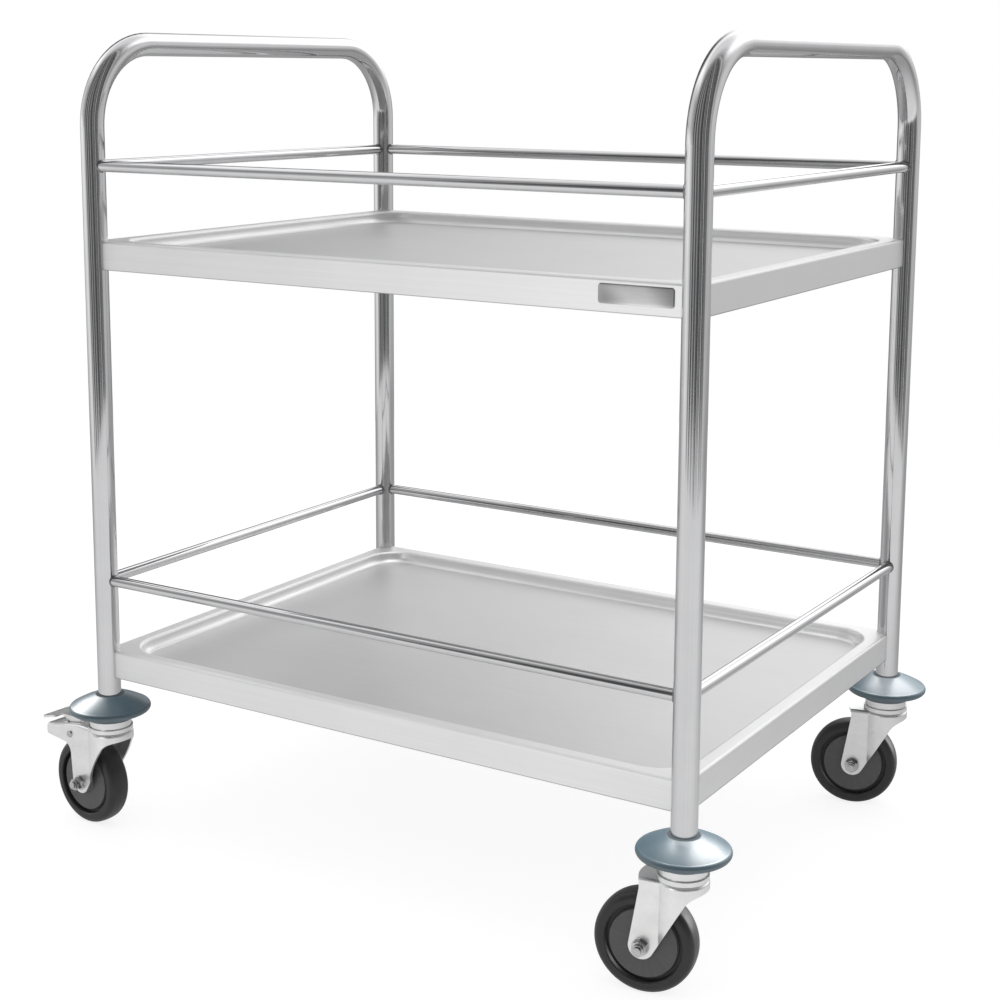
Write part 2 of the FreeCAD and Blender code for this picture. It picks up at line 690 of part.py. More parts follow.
def pedal_pin():
    """The rivet that carries a pedal, across the brake arm and above the wheel."""
    profile = [
        (0, -LEG_OUT - PEDAL_PIN_HEAD_H),
        (PEDAL_PIN_HEAD_D / 2 - PEDAL_PIN_HEAD_H / 2, -LEG_OUT - PEDAL_PIN_HEAD_H),
        (PEDAL_PIN_HEAD_D / 2, -LEG_OUT),
        (PEDAL_PIN_D / 2, -LEG_OUT),
        (PEDAL_PIN_D / 2, LEG_OUT),
        (PEDAL_PIN_HEAD_D / 2, LEG_OUT),
        (PEDAL_PIN_HEAD_D / 2 - PEDAL_PIN_HEAD_H / 2, LEG_OUT + PEDAL_PIN_HEAD_H),
        (0, LEG_OUT + PEDAL_PIN_HEAD_H),
    ]
    return turned(profile, Vector(PIVOT_X, 0, PIVOT_Z), Vector(0, 1, 0), UP)


def placed(shape, corner, turn):
    """A caster's piece, turned about its swivel axis and set under its post."""
    copy = shape.copy()
    copy.rotate(Vector(0, 0, 0), UP, turn)
    copy.translate(post_at(corner))
    return copy


def frame_pieces():
    """End frames, rails, trays and tray fixings."""
    pieces = {"left_end_frame": end_frame(-1), "right_end_frame": end_frame(1)}
    for level, rim_z in RIM_LEVELS.items():
        z = rim_z + RAIL_ABOVE_RIM
        pieces[level + "_tray"] = tray(rim_z)
        for name, side in (("left", -1), ("right", 1)):
            ends = [Vector(side * POST_X, y, z) for y in (-POST_Y, POST_Y)]
            pieces[f"{level}_{name}_rail"] = gallery_rail(*ends)
        for name, side in (("front", -1), ("back", 1)):
            ends = [Vector(x, side * POST_Y, z) for x in (-POST_X, POST_X)]
            pieces[f"{level}_{name}_rail"] = gallery_rail(*ends)
    places = [(corner, rim_z) for rim_z in RIM_LEVELS.values() for corner in CORNERS]
    pieces["tray_screws"] = Part.makeCompound([tray_screw(*place) for place in places])
    pieces["tray_nuts"] = Part.makeCompound([tray_nut(*place) for place in places])
    return pieces


def caster_pieces():
    """The four casters with their bumpers, stems, wheels and brakes."""
    plain = {
        "stem": stem(),
        "bumper": bumper(),
        "swivel_ring": swivel_ring(),
        "axle_bolt": axle_bolt(),
        "axle_nut": axle_nut(),
        "axle_bush": axle_bush(),
        "tyre": tyre(),
        "core": core(),
    }
    forks = {braked: fork(braked) for braked in (True, False)}
    brake = {"pedal": pedal(), "pedal_pin": pedal_pin()}
    pieces = {}
    for name, (side_x, side_y, turn, braked) in CASTERS.items():
        kit = dict(plain, fork=forks[braked])
        if braked:
            kit.update(brake)
        for piece, shape in kit.items():
            pieces[f"{name}_{piece}"] = placed(shape, (side_x, side_y), turn)
    sleeve = stem_sleeve()
    pieces["stem_sleeves"] = Part.makeCompound([placed(sleeve, corner, 0) for corner in CORNERS])
    return pieces


def main():
    os.makedirs("parts", exist_ok=True)
    pieces = frame_pieces()
    pieces.update(caster_pieces())
    for name, shape in pieces.items():
        if not shape.isValid() or not shape.Solids:
            raise RuntimeError(f"{name} is not a sound solid")
        shape.exportStep(f"parts/{name}.step")


main()
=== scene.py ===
"""Looks of the stainless serving trolley: finishes, welds, a bare plate, studio light and camera."""

import bmesh
import bpy
import math
from mathutils import Matrix, Vector


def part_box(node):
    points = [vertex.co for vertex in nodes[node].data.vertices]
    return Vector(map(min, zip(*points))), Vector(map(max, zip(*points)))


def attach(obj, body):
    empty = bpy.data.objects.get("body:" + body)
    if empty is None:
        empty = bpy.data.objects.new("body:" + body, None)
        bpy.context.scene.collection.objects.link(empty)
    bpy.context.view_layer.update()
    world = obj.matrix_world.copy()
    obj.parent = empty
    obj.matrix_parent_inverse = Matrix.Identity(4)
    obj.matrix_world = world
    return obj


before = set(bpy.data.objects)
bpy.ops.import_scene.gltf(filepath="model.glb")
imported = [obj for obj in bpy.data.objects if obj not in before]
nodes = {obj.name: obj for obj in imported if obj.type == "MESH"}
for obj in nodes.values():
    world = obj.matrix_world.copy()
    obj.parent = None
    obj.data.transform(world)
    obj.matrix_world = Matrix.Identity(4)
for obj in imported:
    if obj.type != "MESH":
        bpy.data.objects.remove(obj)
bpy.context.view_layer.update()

WHITE = (1, 1, 1, 1)
UP = Vector((0, 0, 1))

# The range that most of a noise's values lie in
NOISE_RANGE = (0.3, 0.7)

# Camera, fitted to the posts, rails, trays and wheels of the photograph
CAMERA_PLACE = Vector((1.0423, -1.7010, 0.8512))
CAMERA_YAW = math.radians(31.732)
CAMERA_PITCH = math.radians(9.385)
CAMERA_ROLL = math.radians(0.299)
CAMERA_LENS = 65.52
CAMERA_SENSOR = 36.0
CAMERA_SHIFT_Y = -0.13

# Floor: its size, its finish, and its light as the camera and as reflections see it
FLOOR_R = 2.4
FLOOR_SIDES = 96
FLOOR_COLOUR = (0.8, 0.8, 0.8, 1)
FLOOR_ROUGH = 0.9
FLOOR_GLOW = 0.7
FLOOR_WHITE = 1.2
FLOOR_BRIGHT = 1.05
FLOOR_DIM = 0.34
FLOOR_TURN = math.radians(-12)
FLOOR_DIM_TO_BRIGHT = (-0.8, 0.8)

# Room: the dome of light on matt surfaces, from the horizon to the top
DOME_LOW_LIGHT = 0.38
DOME_TOP_LIGHT = 0.95

# Room: levels of light seen in reflections, by direction from the object
DARK_SIDE = 0.07
DARK_AIM_UP = math.radians(22)
STRIPE_LIGHT = 0.75
STRIPES = 6.0
STRIPE_REACH = 0.30
LEFT_LIGHT = 1.35
LEFT_HIGH_LIGHT = 0.85
RIGHT_LIGHT = 0.85
TOP_LIGHT = 1.7
ZENITH_LIGHT = 1.0
FAR_LEFT_LIGHT = 0.10
FAR_RIGHT_LIGHT = 1.6
FAR_LOW_LIGHT = 0.18
FAR_TURN = math.radians(184)

# Room: where one level passes into the next, as heights of a direction, cosines from an aim or a noise
LEFT_HEIGHTS = (0.0, 0.15)
LEFT_TO_RIGHT = (-0.2, 0.6)
STRIPE_EDGE = (0.47, 0.67)
DARK_TO_OPEN = (0.64, -0.22)
FAR_EDGE = (0.66, 0.93)
FAR_TOP = (0.50, 0.80)
FAR_LEFT_TO_RIGHT = (-0.25, 0.25)
FAR_LOW_HEIGHTS = (0.02, 0.16)
GROUND_DIM_TO_BRIGHT = (-0.5, 0.5)

# Room: heights of the white top, behind the object and at its side. The left counts as further forward
BACK_TO_SIDE = (-0.6, 0.0)
TOP_START = (0.02, 0.45)
TOP_FULL = (0.25, 0.85)
LEFT_FORWARD = 0.4
LEFT_FORWARD_RANGE = (-0.4, 0.1)
DARK_TO_TOP = (0.52, 0.08)
ZENITH_HEIGHTS = (0.65, 0.90)

# Room: heights of the ground, on the far side and on the near side
FAR_TO_NEAR = (-0.2, 0.4)
GROUND_START = (0.08, -0.16)
GROUND_FULL = (-0.32, -0.26)

# Casters: the turn from +X to each wheel, as in the construction
CASTER_TURN = {"front_left": 174.0, "front_right": 189.0, "back_left": 174.0, "back_right": 194.0}
ENDS = ("front", "back")

# Bumpers: the level where the tubes' ends stand on them, and the painted shade darkening the seam just
# under it
BUMPER_TOP_Z = 0.159
SEAM_START = 0.0007
SEAM_END = 0.0002
SEAM_PAINTED_SHADE = 0.25
SEAM_ROUGH = 0.9

# Tyres: mould rings in radians for each metre of radius, the parting line's half width, and bump heights
TYRE_RINGS = 3600.0
PARTING_LINE = (0.0002, 0.0006)
RING_HEIGHT = 0.12
GRAIN_HEIGHT = 0.3

# Wheels: the edge of the flat disc, where the painted shade of the groove beside the tyre starts, and flow
# lines
DISC_R = 0.035
GROOVE_START = 0.0006
GROOVE_END = 0.0004
GROOVE_SHADE = 0.10
FLOW_LINES = 2.2

# Plate on the upper tray's front skirt, with a painted sheen across its middle and a painted shade line at
# its top and right edges
PLATE_X = 0.2993
PLATE_Z = 0.6532
PLATE_W = 0.0765
PLATE_H = 0.0183
PLATE_CORNER_R = 0.003
PLATE_THICK = 0.0009
PLATE_CROWN = 0.0004
PLATE_LINE = 0.0006
PLATE_LINE_SHADE = 0.4
PLATE_PAINTED_SHEEN_W = 0.008
PLATE_PAINTED_SHEEN_SLANT = 0.8
PLATE_PAINTED_SHEEN_TONES = (0.92, 0.48)
PLATE_CORNER_STEPS = 8
PLATE_INNER_RINGS = 5

# Trays: from the skirt to the dish, and the heights from the rim's top where its wall and floor begin
DISH_EDGE = 0.019
DISH_WALL_Z = (-0.001, -0.004)
DISH_FLOOR_Z = (-0.0130, -0.0137)

# Trays: the painted shade line along the skirt's lower edge, and the finish of the rim, the dish and its
# floor, with painted shade darkening the floor
SKIRT_EDGE_H = 0.0012
SKIRT_EDGE_SHADE = 0.30
RIM_TO_FLOOR_SHADE = (0.84, 0.67)
RIM_TO_FLOOR_METAL = (0.6, 0.75)
RIM_ROUGH = 0.46
DISH_SMOOTHER = 0.12
DISH_FLOOR_ROUGHER = 0.14

# Welds round the rails' ends
WELD_BEAD_R = 0.0011
WELD_STEPS = 40
WELD_SIDES = 8


def add(tree, kind, inputs=None, **settings):
    """A new node, with its settings, and its inputs set to values or joined to sockets."""
    node = tree.nodes.new("ShaderNode" + kind)
    for name, value in settings.items():
        setattr(node, name, value)
    for key, value in (inputs or {}).items():
        if isinstance(value, bpy.types.NodeSocket):
            tree.links.new(value, node.inputs[key])
        else:
            node.inputs[key].default_value = value
    return node


def math_node(tree, operation, *values):
    """The result of a maths node."""
    return add(tree, "Math", dict(enumerate(values)), operation=operation).outputs[0]


def spread(tree, value, edges, levels, smooth=False):
    """A value mapped from the range between two edges to the range between two levels."""
    kind = "SMOOTHSTEP" if smooth else "LINEAR"
    ranges = {"From Min": edges[0], "From Max": edges[1], "To Min": levels[0], "To Max": levels[1]}
    return add(tree, "MapRange", {"Value": value, **ranges}, interpolation_type=kind).outputs["Result"]


def ramp(tree, value, edges):
    """A smooth step from 0 at the first edge to 1 at the second."""
    return spread(tree, value, edges, (0.0, 1.0), smooth=True)


def blend(tree, factor, first, second):
    """A value between two, by a factor."""
    levels = {"Factor": factor, "A": first, "B": second}
    return add(tree, "Mix", levels, data_type="FLOAT").outputs["Result"]


def weighted(tree, first, second, share):
    """Two values added, the first with a share of the whole and the second with the rest."""
    first = math_node(tree, "MULTIPLY", first, share)
    second = math_node(tree, "MULTIPLY", second, 1 - share)
    return math_node(tree, "ADD", first, second)


def new_material(name):
    """A material with one principled shader, its tree and that shader."""
    material = bpy.data.materials.new(name)
    material.use_nodes = True
    tree = material.node_tree
    shader = tree.nodes["Principled BSDF"]
    return material, tree, shader


def scaled_place(tree, scale=(1, 1, 1), origin=(0, 0, 0), turn=0.0):
    """Coordinates fixed to the object: moved to an origin, turned about Z, then scaled."""
    place = add(tree, "TexCoord").outputs["Object"]
    moved = add(tree, "VectorMath", {0: place, 1: origin}, operation="SUBTRACT").outputs[0]
    turned = add(tree, "VectorRotate", {"Vector": moved, "Angle": -turn}, rotation_type="Z_AXIS").outputs[0]
    return add(tree, "VectorMath", {0: turned, 1: scale}, operation="MULTIPLY").outputs[0]


def noise(tree, vector, scale, detail=3.0, roughness=0.5):
    """A noise value from 0 to 1."""
    settings = {"Vector": vector, "Scale": scale, "Detail": detail, "Roughness": roughness}
    return add(tree, "TexNoise", settings).outputs["Fac"]


def shade(tree, value, dark, light):
    """A colour between two, by a noise."""
    factor = spread(tree, value, NOISE_RANGE, (0.0, 1.0))
    mix = add(tree, "Mix", {"Factor": factor}, data_type="RGBA")
    mix.inputs["A"].default_value = (*dark, 1)
    mix.inputs["B"].default_value = (*light, 1)
    return mix.outputs["Result"]


def grey(tree, level):
    """A grey colour of a level."""
    return add(tree, "CombineColor", {0: level, 1: level, 2: level}).outputs[0]


def dimmed(tree, colour, level):
    """A colour times a level."""
    return add(tree, "VectorMath", {0: colour, "Scale": level}, operation="SCALE").outputs[0]


def set_inputs(tree, shader, **inputs):
    """Set or join a shader's sockets, named in lower case with underscores."""
    for key, value in inputs.items():
        socket = shader.inputs[key.replace("_", " ").title().replace("Ior", "IOR")]
        if isinstance(value, bpy.types.NodeSocket):
            tree.links.new(value, socket)
        else:
            socket.default_value = value


def bump(tree, height, strength, distance):
    """A normal from a height."""
    settings = {"Height": height, "Strength": strength, "Distance": distance}
    return add(tree, "Bump", settings).outputs["Normal"]


def polished_tube():
    """Polished stainless tube: faint polishing streaks along the tube and a little waviness."""
    material, tree, shader = new_material("polished_tube")
    facing = add(tree, "TexCoord").outputs["Normal"]
    streaks = noise(tree, facing, scale=26.0, detail=4.0, roughness=0.65)
    spots = noise(tree, scaled_place(tree), scale=38.0, detail=4.0, roughness=0.6)
    wave = noise(tree, scaled_place(tree, (1, 1, 0.5)), scale=16.0, detail=1.0)
    mixed = weighted(tree, streaks, spots, share=0.7)
    set_inputs(
        tree,
        shader,
        base_color=shade(tree, mixed, dark=(0.57, 0.57, 0.58), light=(0.67, 0.67, 0.68)),
        metallic=1.0,
        roughness=spread(tree, mixed, NOISE_RANGE, (0.05, 0.11)),
        normal=bump(tree, wave, strength=0.10, distance=0.002),
    )
    return material


def weld_bead():
    """Darker, uneven steel of the weld beads."""
    material, tree, shader = new_material("weld_bead")
    ripple = noise(tree, scaled_place(tree), scale=900.0, detail=2.0)
    set_inputs(
        tree,
        shader,
        base_color=shade(tree, ripple, dark=(0.20, 0.20, 0.20), light=(0.34, 0.34, 0.34)),
        metallic=1.0,
        roughness=0.3,
        normal=bump(tree, ripple, strength=0.3, distance=0.0003),
    )
    return material


def tray_sheet(name, low, high):
    """Satin stainless sheet, brushed lengthwise. The dish's wall is smoother, its floor darker by painted
    shade, and a painted shade line runs along the skirt's lower edge.
    """
    material, tree, shader = new_material(name + "_sheet")
    grain = noise(tree, scaled_place(tree, (5, 620, 620)), scale=1.0, detail=5.0, roughness=0.7)
    clouds = noise(tree, scaled_place(tree), scale=7.0, roughness=0.55)
    tone = spread(tree, weighted(tree, grain, clouds, share=0.6), NOISE_RANGE, (0.95, 1.05))
    middle = (low + high) / 2
    middle.z = high.z
    parts = add(tree, "SeparateXYZ", {0: scaled_place(tree, origin=middle)}).outputs
    inside = 1.0
    for axis, half in (("X", (high.x - low.x) / 2), ("Y", (high.y - low.y) / 2)):
        reach = math_node(tree, "ABSOLUTE", parts[axis])
        inside = math_node(tree, "MULTIPLY", inside, math_node(tree, "LESS_THAN", reach, half - DISH_EDGE))
    dish = math_node(tree, "MULTIPLY", inside, ramp(tree, parts["Z"], DISH_WALL_Z))
    floor = math_node(tree, "MULTIPLY", inside, ramp(tree, parts["Z"], DISH_FLOOR_Z))
    # Painted shade: a dark line along the skirt's lower edge
    skirt_low = low.z - high.z
    edge_heights = (skirt_low, skirt_low + SKIRT_EDGE_H)
    edge_shade = spread(tree, parts["Z"], edge_heights, (SKIRT_EDGE_SHADE, 1.0), smooth=True)
    # Painted shade: the dish floor's colour is darker than the rim's
    level = math_node(tree, "MULTIPLY", spread(tree, floor, (0.0, 1.0), RIM_TO_FLOOR_SHADE), tone)
    level = math_node(tree, "MULTIPLY", level, edge_shade)
    rough = math_node(tree, "SUBTRACT", RIM_ROUGH, math_node(tree, "MULTIPLY", dish, DISH_SMOOTHER))
    rough = math_node(tree, "ADD", rough, math_node(tree, "MULTIPLY", floor, DISH_FLOOR_ROUGHER))
    set_inputs(
        tree,
        shader,
        base_color=grey(tree, level),
        metallic=spread(tree, floor, (0.0, 1.0), RIM_TO_FLOOR_METAL),
        roughness=math_node(tree, "MULTIPLY", rough, tone),
        normal=bump(tree, grain, strength=0.10, distance=0.0004),
    )
    return material


def fixing_steel():
    """Bright steel of nuts, bolts, pins and races, a little uneven."""
    material, tree, shader = new_material("fixing_steel")
    marks = noise(tree, scaled_place(tree), scale=160.0, roughness=0.6)
    set_inputs(
        tree,
        shader,
        base_color=shade(tree, marks, dark=(0.46, 0.46, 0.465), light=(0.60, 0.60, 0.605)),
        metallic=1.0,
        roughness=spread(tree, marks, NOISE_RANGE, (0.14, 0.24)),
    )
    return material


def zinc_plate():
    """Bright zinc plating: pale, mottled, with fine pits."""
    material, tree, shader = new_material("zinc_plate")
    place = scaled_place(tree)
    clouds = noise(tree, place, scale=60.0, detail=4.0, roughness=0.6)
    pits = noise(tree, place, scale=900.0, detail=2.0)
    set_inputs(
        tree,
        shader,
        base_color=shade(tree, clouds, dark=(0.80, 0.80, 0.795), light=(0.90, 0.90, 0.90)),
        metallic=0.8,
        roughness=spread(tree, clouds, NOISE_RANGE, (0.27, 0.36)),
        normal=bump(tree, pits, strength=0.12, distance=0.0002),
    )
    return material


def sleeve_plastic():
    """Dark moulded plastic of the stem sleeves."""
    material, tree, shader = new_material("sleeve_plastic")
    grain = noise(tree, scaled_place(tree), scale=700.0)
    set_inputs(
        tree,
        shader,
        base_color=shade(tree, grain, dark=(0.035, 0.035, 0.036), light=(0.055, 0.055, 0.056)),
        roughness=spread(tree, grain, NOISE_RANGE, (0.45, 0.60)),
    )
    return material


def bumper_rubber():
    """Satin blue-grey bumper with a glossy moulded skin, with painted shade darkening the seam under the
    tube.
    """
    material, tree, shader = new_material("bumper_rubber")
    place = scaled_place(tree)
    clouds = noise(tree, place, scale=30.0)
    grain = noise(tree, place, scale=1400.0, detail=2.0)
    colour = shade(tree, clouds, dark=(0.044, 0.092, 0.122), light=(0.054, 0.106, 0.138))
    height = add(tree, "SeparateXYZ", {0: place}).outputs["Z"]
    # Painted shade: the colour is darkened in the seam under the tube's end, where the skin is also made
    # rough
    seam_edges = (BUMPER_TOP_Z - SEAM_START, BUMPER_TOP_Z - SEAM_END)
    seam_shade = spread(tree, height, seam_edges, (1.0, SEAM_PAINTED_SHADE), smooth=True)
    skin_rough = spread(tree, grain, NOISE_RANGE, (0.33, 0.40))
    set_inputs(
        tree,
        shader,
        base_color=dimmed(tree, colour, seam_shade),
        roughness=spread(tree, seam_shade, (SEAM_PAINTED_SHADE, 1.0), (SEAM_ROUGH, skin_rough)),
        ior=2.0,
        normal=bump(tree, grain, strength=0.05, distance=0.0002),
    )
    return material


def wheel_radius(tree, origin, turn):
    """Coordinates about an axle, and the distance from it. The axle is the second coordinate."""
    local = scaled_place(tree, origin=origin, turn=turn)
    parts = add(tree, "SeparateXYZ", {0: local}).outputs
    flat = add(tree, "CombineXYZ", {"X": parts["X"], "Y": parts["Z"]}).outputs[0]
    radius = add(tree, "VectorMath", {0: flat}, operation="LENGTH").outputs["Value"]
    return local, parts, radius


def tyre_rubber(name, origin, turn):
    """Grey tyre rubber with faint mould rings, a parting line and dust."""
    material, tree, shader = new_material(name + "_tyre_rubber")
    local, parts, radius = wheel_radius(tree, origin, turn)
    rings = math_node(tree, "SINE", math_node(tree, "MULTIPLY", radius, TYRE_RINGS))
    ridge = spread(tree, math_node(tree, "ABSOLUTE", parts["Y"]), PARTING_LINE, (1.0, 0.0), smooth=True)
    dust = noise(tree, local, scale=75.0, detail=4.0, roughness=0.6)
    grain = noise(tree, local, scale=1500.0, detail=2.0)
    height = math_node(tree, "ADD", math_node(tree, "MULTIPLY", rings, RING_HEIGHT), ridge)
    height = math_node(tree, "ADD", height, math_node(tree, "MULTIPLY", grain, GRAIN_HEIGHT))
    set_inputs(
        tree,
        shader,
        base_color=shade(tree, dust, dark=(0.021, 0.021, 0.022), light=(0.032, 0.032, 0.033)),
        roughness=spread(tree, dust, NOISE_RANGE, (0.36, 0.47)),
        normal=bump(tree, height, strength=0.25, distance=0.0003),
    )
    return material


def wheel_plastic(name, origin, turn):
    """Grey moulded wheel centre with faint flow lines running out from the hub, and painted shade in the
    groove beside the tyre.
    """
    material, tree, shader = new_material(name + "_wheel_plastic")
    local, parts, radius = wheel_radius(tree, origin, turn)
    angle = math_node(tree, "ARCTAN2", parts["Z"], parts["X"])
    around = add(tree, "CombineXYZ", {"X": math_node(tree, "MULTIPLY", angle, FLOW_LINES)}).outputs[0]
    flow = noise(tree, around, scale=3.0, detail=4.0, roughness=0.7)
    clouds = noise(tree, local, scale=45.0)
    mixed = weighted(tree, flow, clouds, share=0.6)
    colour = shade(tree, mixed, dark=(0.088, 0.088, 0.089), light=(0.132, 0.132, 0.133))
    # Painted shade: the colour darkens in the groove between the disc and the tyre
    groove_edges = (DISC_R - GROOVE_START, DISC_R + GROOVE_END)
    groove_shade = spread(tree, radius, groove_edges, (1.0, GROOVE_SHADE), smooth=True)
    set_inputs(
        tree,
        shader,
        base_color=dimmed(tree, colour, groove_shade),
        roughness=spread(tree, mixed, NOISE_RANGE, (0.36, 0.48)),
        normal=bump(tree, flow, strength=0.10, distance=0.0004),
    )
    return material


def plate_steel():
    """Brushed plate, with a painted sheen slanting across its middle and a painted shade line at its top
    and right.
    """
    material, tree, shader = new_material("plate_steel")
    parts = add(tree, "SeparateXYZ", {0: scaled_place(tree, origin=(PLATE_X, 0, PLATE_Z))}).outputs
    # Painted sheen: the colour is lighter in a band slanting across the middle, darker towards the ends
    slant = math_node(tree, "ADD", parts["X"], math_node(tree, "MULTIPLY", parts["Z"], PLATE_PAINTED_SHEEN_SLANT))
    aside = math_node(tree, "ABSOLUTE", slant)
    painted_sheen = spread(tree, aside, (PLATE_PAINTED_SHEEN_W, PLATE_W / 2), PLATE_PAINTED_SHEEN_TONES, smooth=True)
    # Painted shade: a dark line along the top and right edges
    for axis, half in (("X", PLATE_W / 2), ("Z", PLATE_H / 2)):
        line_edges = (half - 2 * PLATE_LINE, half - PLATE_LINE)
        line_shade = spread(tree, parts[axis], line_edges, (1.0, PLATE_LINE_SHADE), smooth=True)
        painted_sheen = math_node(tree, "MULTIPLY", painted_sheen, line_shade)
    grain = noise(tree, scaled_place(tree, (60, 60, 2200)), scale=1.0, roughness=0.6)
    level = math_node(tree, "MULTIPLY", painted_sheen, spread(tree, grain, NOISE_RANGE, (0.95, 1.05)))
    set_inputs(
        tree,
        shader,
        base_color=grey(tree, level),
        metallic=0.85,
        roughness=0.42,
        normal=bump(tree, grain, strength=0.08, distance=0.0002),
    )
    return material


def dress(piece, material):
    """Give every material slot of an object one material."""
    if not piece.material_slots:
        piece.data.materials.append(material)
    for slot in piece.material_slots:
        slot.material = material


def wheel_centre(name):
    """The middle of a caster's wheel."""
    low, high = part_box(name + "_tyre")
    return (low + high) / 2


def dress_frame():
    """Materials of all the construction's pieces."""
    tube = polished_tube()
    fixing = fixing_steel()
    zinc = zinc_plate()
    by_ending = {
        "_end_frame": tube,
        "_rail": tube,
        "_screws": fixing,
        "_nuts": fixing,
        "_swivel_ring": fixing,
        "_axle_bolt": fixing,
        "_axle_nut": fixing,
        "_axle_bush": fixing,
        "_pedal_pin": fixing,
        "_stem": zinc,
        "_fork": zinc,
        "_pedal": zinc,
        "_sleeves": sleeve_plastic(),
        "_bumper": bumper_rubber(),
    }
    for tray in ("upper_tray", "lower_tray"):
        by_ending[tray] = tray_sheet(tray, *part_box(tray))
    for caster, turn in CASTER_TURN.items():
        centre = wheel_centre(caster)
        by_ending[caster + "_tyre"] = tyre_rubber(caster, centre, math.radians(turn))
        by_ending[caster + "_core"] = wheel_plastic(caster, centre, math.radians(turn))
    for name, piece in nodes.items():
        ending = next(e for e in by_ending if name.endswith(e))
        dress(piece, by_ending[ending])


def new_piece(name, mesh_maker, material, body):
    """An object built in a bmesh, dressed and riding on a body."""
    work = bmesh.new()
    mesh_maker(work)
    bmesh.ops.recalc_face_normals(work, faces=work.faces)
    mesh = bpy.data.meshes.new(name)
    work.to_mesh(mesh)
    work.free()
    mesh.polygons.foreach_set("use_smooth", [True] * len(mesh.polygons))
    piece = bpy.data.objects.new(name, mesh)
    bpy.context.scene.collection.objects.link(piece)
    dress(piece, material)
    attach(piece, body)


def plate_mesh(work):
    """A thin plate with round corners and a crowned face, lying on the front skirt."""
    skirt_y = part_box("upper_tray")[0].y
    half_w = PLATE_W / 2
    half_h = PLATE_H / 2
    outline = []
    for sx, sz, start in ((1, 1, 0), (-1, 1, 90), (-1, -1, 180), (1, -1, 270)):
        for step in range(PLATE_CORNER_STEPS + 1):
            turn = math.radians(start + 90 * step / PLATE_CORNER_STEPS)
            x = sx * (half_w - PLATE_CORNER_R) + PLATE_CORNER_R * math.cos(turn)
            z = sz * (half_h - PLATE_CORNER_R) + PLATE_CORNER_R * math.sin(turn)
            outline.append((x, z))
    bevel = PLATE_THICK / 3
    face_size = 1.0 - bevel / half_h
    rings = [(1.0, 0.0), (1.0, PLATE_THICK - bevel), (face_size, PLATE_THICK)]
    for step in range(1, PLATE_INNER_RINGS):
        size = face_size * (1 - step / PLATE_INNER_RINGS)
        rings.append((size, PLATE_THICK + PLATE_CROWN * (1 - size**2)))
    loops = []
    for size, rise in rings:
        y = skirt_y - rise
        loops.append([work.verts.new((PLATE_X + x * size, y, PLATE_Z + z * size)) for x, z in outline])
    for inner, outer in zip(loops[1:], loops):
        for index in range(len(outline)):
            after = (index + 1) % len(outline)
            work.faces.new((outer[index], outer[after], inner[after], inner[index]))
    work.faces.new(loops[0])
    work.faces.new(loops[-1])


def weld_ring(work, post, way, rail_r, post_r):
    """A bead along the line where a rail's end meets a post."""
    across = way.cross(UP)
    loops = []
    for step in range(WELD_STEPS):
        turn = math.tau * step / WELD_STEPS
        out = across * math.cos(turn) + UP * math.sin(turn)
        side = rail_r * math.cos(turn)
        seat = post + way * math.sqrt(post_r**2 - side**2) + out * rail_r
        loop = []
        for point in range(WELD_SIDES):
            swing = math.tau * point / WELD_SIDES
            spoke = out * math.cos(swing) + way * math.sin(swing)
            loop.append(work.verts.new(seat + spoke * WELD_BEAD_R))
        loops.append(loop)
    for index, loop in enumerate(loops):
        after = loops[(index + 1) % WELD_STEPS]
        for point in range(WELD_SIDES):
            other = (point + 1) % WELD_SIDES
            work.faces.new((loop[point], after[point], after[other], loop[other]))


def weld_mesh(level):
    """The maker of all the weld beads at one gallery's level."""
    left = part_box("left_end_frame")
    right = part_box("right_end_frame")
    post_r = (left[1].x - left[0].x) / 2
    post_x = (right[0].x + right[1].x) / 2
    post_y = left[1].y - post_r
    low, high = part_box(level + "_front_rail")
    rail_r = (high.z - low.z) / 2
    rail_z = (high.z + low.z) / 2

    def make(work):
        for sx in (-1, 1):
            for sy in (-1, 1):
                post = Vector((sx * post_x, sy * post_y, rail_z))
                weld_ring(work, post, Vector((-sx, 0, 0)), rail_r, post_r)
                weld_ring(work, post, Vector((0, -sy, 0)), rail_r, post_r)

    return make


def make_floor():
    """A round white floor that keeps the object's shadow."""
    mesh = bpy.data.meshes.new("floor")
    turns = [math.tau * step / FLOOR_SIDES for step in range(FLOOR_SIDES)]
    corners = [(FLOOR_R * math.cos(turn), FLOOR_R * math.sin(turn), 0) for turn in turns]
    mesh.from_pydata(corners, [], [range(FLOOR_SIDES)])
    floor = bpy.data.objects.new("floor", mesh)
    bpy.context.scene.collection.objects.link(floor)
    material, tree, shader = new_material("floor_white")
    set_inputs(tree, shader, base_color=FLOOR_COLOUR, roughness=FLOOR_ROUGH)
    path = add(tree, "LightPath").outputs
    seen = math_node(tree, "MAXIMUM", path["Is Camera Ray"], path["Is Glossy Ray"])
    seen = math_node(tree, "MAXIMUM", seen, path["Is Transmission Ray"])
    bright_way = (math.sin(CAMERA_YAW + FLOOR_TURN), -math.cos(CAMERA_YAW + FLOOR_TURN), 0)
    place = add(tree, "TexCoord").outputs["Object"]
    along = add(tree, "VectorMath", {0: place, 1: bright_way}, operation="DOT_PRODUCT").outputs["Value"]
    mirrored = spread(tree, along, FLOOR_DIM_TO_BRIGHT, (FLOOR_DIM, FLOOR_BRIGHT), smooth=True)
    strength = blend(tree, path["Is Glossy Ray"], FLOOR_WHITE, mirrored)
    glow = add(tree, "Emission", {"Color": WHITE, "Strength": strength})
    lit = add(tree, "BsdfDiffuse", {"Color": WHITE})
    shown = add(tree, "MixShader", {0: 1 - FLOOR_GLOW, 1: glow.outputs[0], 2: lit.outputs[0]})
    both = add(tree, "MixShader", {0: seen, 1: shader.outputs[0], 2: shown.outputs[0]})
    tree.links.new(both.outputs[0], tree.nodes["Material Output"].inputs["Surface"])
    dress(floor, material)


